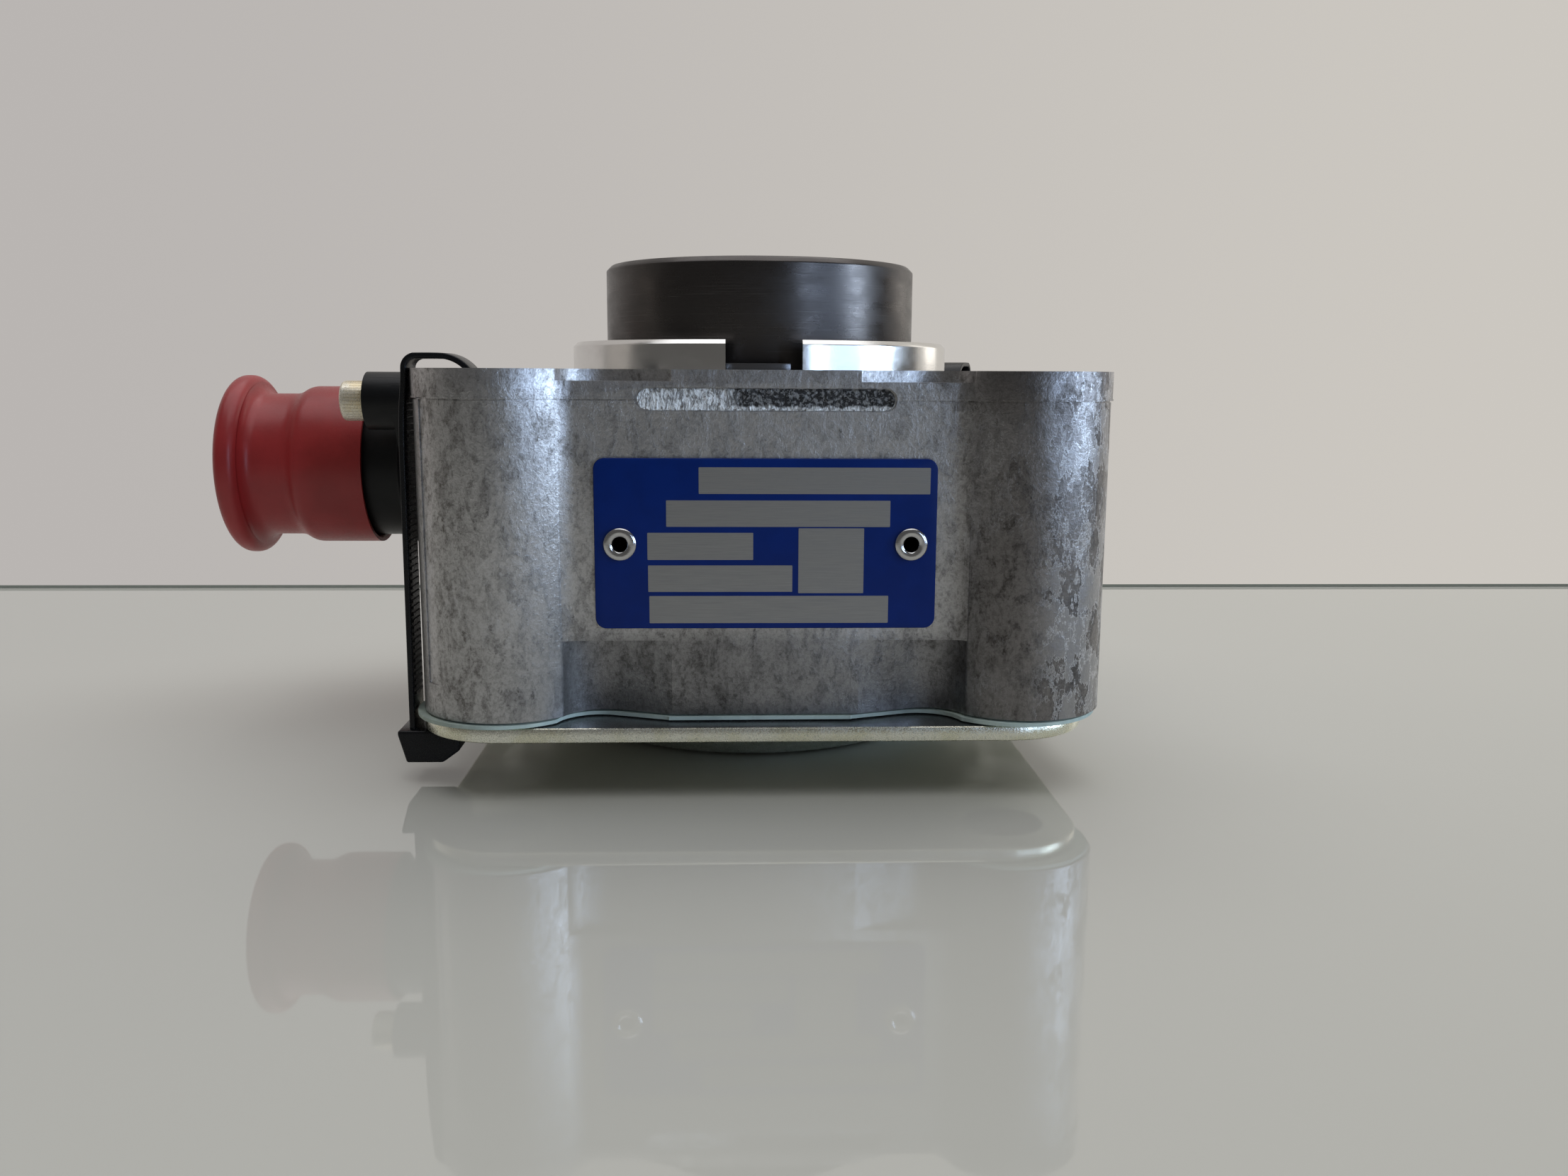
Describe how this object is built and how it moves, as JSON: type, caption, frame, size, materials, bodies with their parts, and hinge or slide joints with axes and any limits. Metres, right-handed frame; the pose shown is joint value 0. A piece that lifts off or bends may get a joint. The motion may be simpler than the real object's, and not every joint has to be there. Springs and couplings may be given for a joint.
{
  "type": "power take off unit",
  "caption": "Square air-shifted power take off unit with pilot collar, splined drive sleeve, position sensor with capped connector, blank name plate and dished cover held by cable ties",
  "frame": {"origin": "on the drive axis, at the underside of the dished cover, where the unit stands", "axes": "+Z along the drive axis towards the gearbox, -Y towards the name plate, -X towards the sensor and its capped connector"},
  "size_m": [0.2172, 0.159, 0.119],
  "materials": {
    "cast_aluminium": "as cast, dull, with dark stains",
    "zinc_sheet": "zinc plated pressed sheet, faintly yellow",
    "gasket_paper": "thin grey-green fibre gasket",
    "turned_steel": "fine turned",
    "dark_steel": "blackened, fine turned",
    "bearing_steel": "ground",
    "spring_steel": "oiled spring steel",
    "zinc_screw": "yellowish zinc plate",
    "brass": "satin",
    "black_rubber": "matte",
    "blue_plate": "dark blue print on brushed sheet",
    "rivet_metal": "bright",
    "black_plastic": "moulded, fine grain",
    "red_plastic": "moulded, soft sheen"
  },
  "bodies": {
    "base": {"housing": "cast_aluminium", "cover_plate": "zinc_sheet", "gasket": "gasket_paper", "bearing_carrier": "turned_steel", "carrier_o_ring": "black_rubber", "carrier_clip": "spring_steel", "shaft_seal": "black_rubber", "output_bearing_outer_ring": "bearing_steel", "drive_bearing_outer_ring": "bearing_steel", "collar_clip": "spring_steel", "return_spring": "spring_steel", "sensor_body": "black_plastic", "sensor_o_ring": "black_rubber", "connector_pins": "brass", "upper_screw_bush": "bearing_steel", "lower_screw_bush": "bearing_steel", "upper_sensor_screw": "zinc_screw", "lower_sensor_screw": "zinc_screw", "name_plate": "blue_plate", "left_rivet": "rivet_metal", "right_rivet": "rivet_metal", "air_port_plug": "black_plastic", "front_cable_tie": "black_plastic", "rear_cable_tie": "black_plastic"},
    "drive": {"drive_sleeve": "dark_steel", "pilot_bush": "brass", "drive_sleeve_clip": "spring_steel", "drive_bearing_inner_ring": "bearing_steel"},
    "output": {"output_shaft": "turned_steel", "output_shaft_clip": "spring_steel", "output_bearing_inner_ring": "bearing_steel"},
    "sleeve": {"shift_sleeve": "turned_steel", "shift_sleeve_clip": "spring_steel"},
    "piston": {"shift_piston": "turned_steel", "piston_outer_ring": "black_rubber", "piston_inner_ring": "black_rubber"},
    "drive_balls": {"drive_bearing_balls": "brass"},
    "output_balls": {"output_bearing_balls": "brass"},
    "plunger": {"sensor_plunger": "zinc_screw"},
    "cap": {"protective_cap": "red_plastic"}
  },
  "joints": [
    {"name": "drive_spin", "type": "hinge", "parent": "base", "child": "drive", "pos_m": [0, 0, 0.05], "axis": [0, 0, 1], "continuous": true},
    {"name": "output_spin", "type": "hinge", "parent": "base", "child": "output", "pos_m": [0, 0, 0.05], "axis": [0, 0, 1], "continuous": true},
    {"name": "piston_slide", "type": "slide", "parent": "base", "child": "piston", "axis": [0, 0, 1], "range_m": [0, 0.009], "stiffness_N_per_m": 2000, "springref_m": -0.005, "deforming": ["return_spring"]},
    {"name": "sleeve_slide", "type": "slide", "parent": "output", "child": "sleeve", "axis": [0, 0, 1], "range_m": [0, 0.009]},
    {"name": "drive_balls_spin", "type": "hinge", "parent": "base", "child": "drive_balls", "pos_m": [0, 0, 0.05], "axis": [0, 0, 1], "continuous": true},
    {"name": "output_balls_spin", "type": "hinge", "parent": "base", "child": "output_balls", "pos_m": [0, 0, 0.05], "axis": [0, 0, 1], "continuous": true},
    {"name": "plunger_slide", "type": "slide", "parent": "base", "child": "plunger", "axis": [-1, 0, 0], "range_m": [0, 0.00125]},
    {"name": "cap_slide", "type": "slide", "parent": "base", "child": "cap", "axis": [-1, 0, 0], "range_m": [0, 0.03]}
  ],
  "couplings": [
    {"joint": "sleeve_slide", "follows": "piston_slide", "ratio": 1},
    {"joint": "plunger_slide", "follows": "piston_slide", "ratio": 0.1356},
    {"joint": "drive_balls_spin", "follows": "drive_spin", "ratio": 0.4434},
    {"joint": "output_balls_spin", "follows": "output_spin", "ratio": 0.4492}
  ]
}
